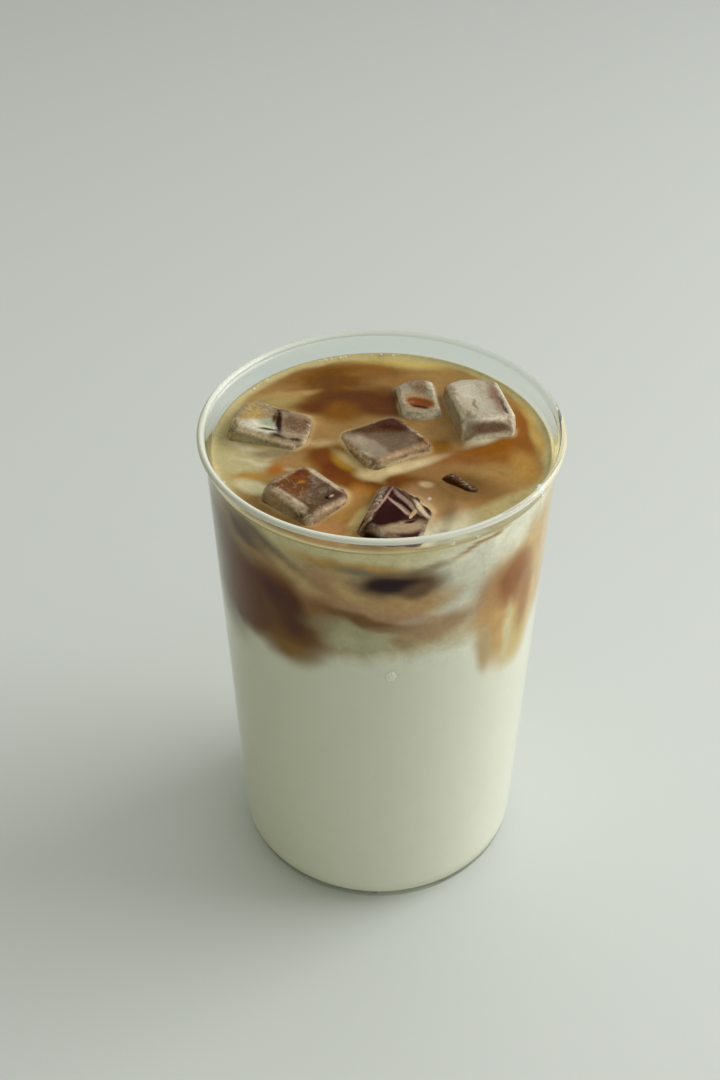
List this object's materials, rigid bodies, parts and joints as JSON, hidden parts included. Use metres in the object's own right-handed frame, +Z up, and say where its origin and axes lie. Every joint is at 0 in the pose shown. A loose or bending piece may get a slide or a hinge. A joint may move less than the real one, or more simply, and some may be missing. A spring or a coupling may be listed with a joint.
{
  "type": "iced latte",
  "caption": "Tall flared glass tumbler of iced latte: milk below, coffee swirling down from above and worn ice cubes breaking the surface.",
  "frame": {"origin": "centre of the glass's foot, on the surface it stands on", "axes": "+Z up along the glass's axis; -Y towards the viewer who sees the ice cubes as modelled"},
  "size_m": [0.086, 0.086, 0.1322],
  "materials": {
    "glass": "clear, faintly green, fire-polished rim",
    "milk": "opaque liquid",
    "coffee": "cloudy liquid with swirls of milk",
    "ice": "wet, clear to cloudy"
  },
  "bodies": {
    "root": {"glass": "glass", "milk": "milk", "coffee": "coffee", "ice_centre": "ice", "ice_back_left": "ice", "ice_back_right": "ice", "ice_back_middle": "ice", "ice_front_left": "ice", "ice_front_middle": "ice", "ice_front_right": "ice"}
  },
  "joints": []
}
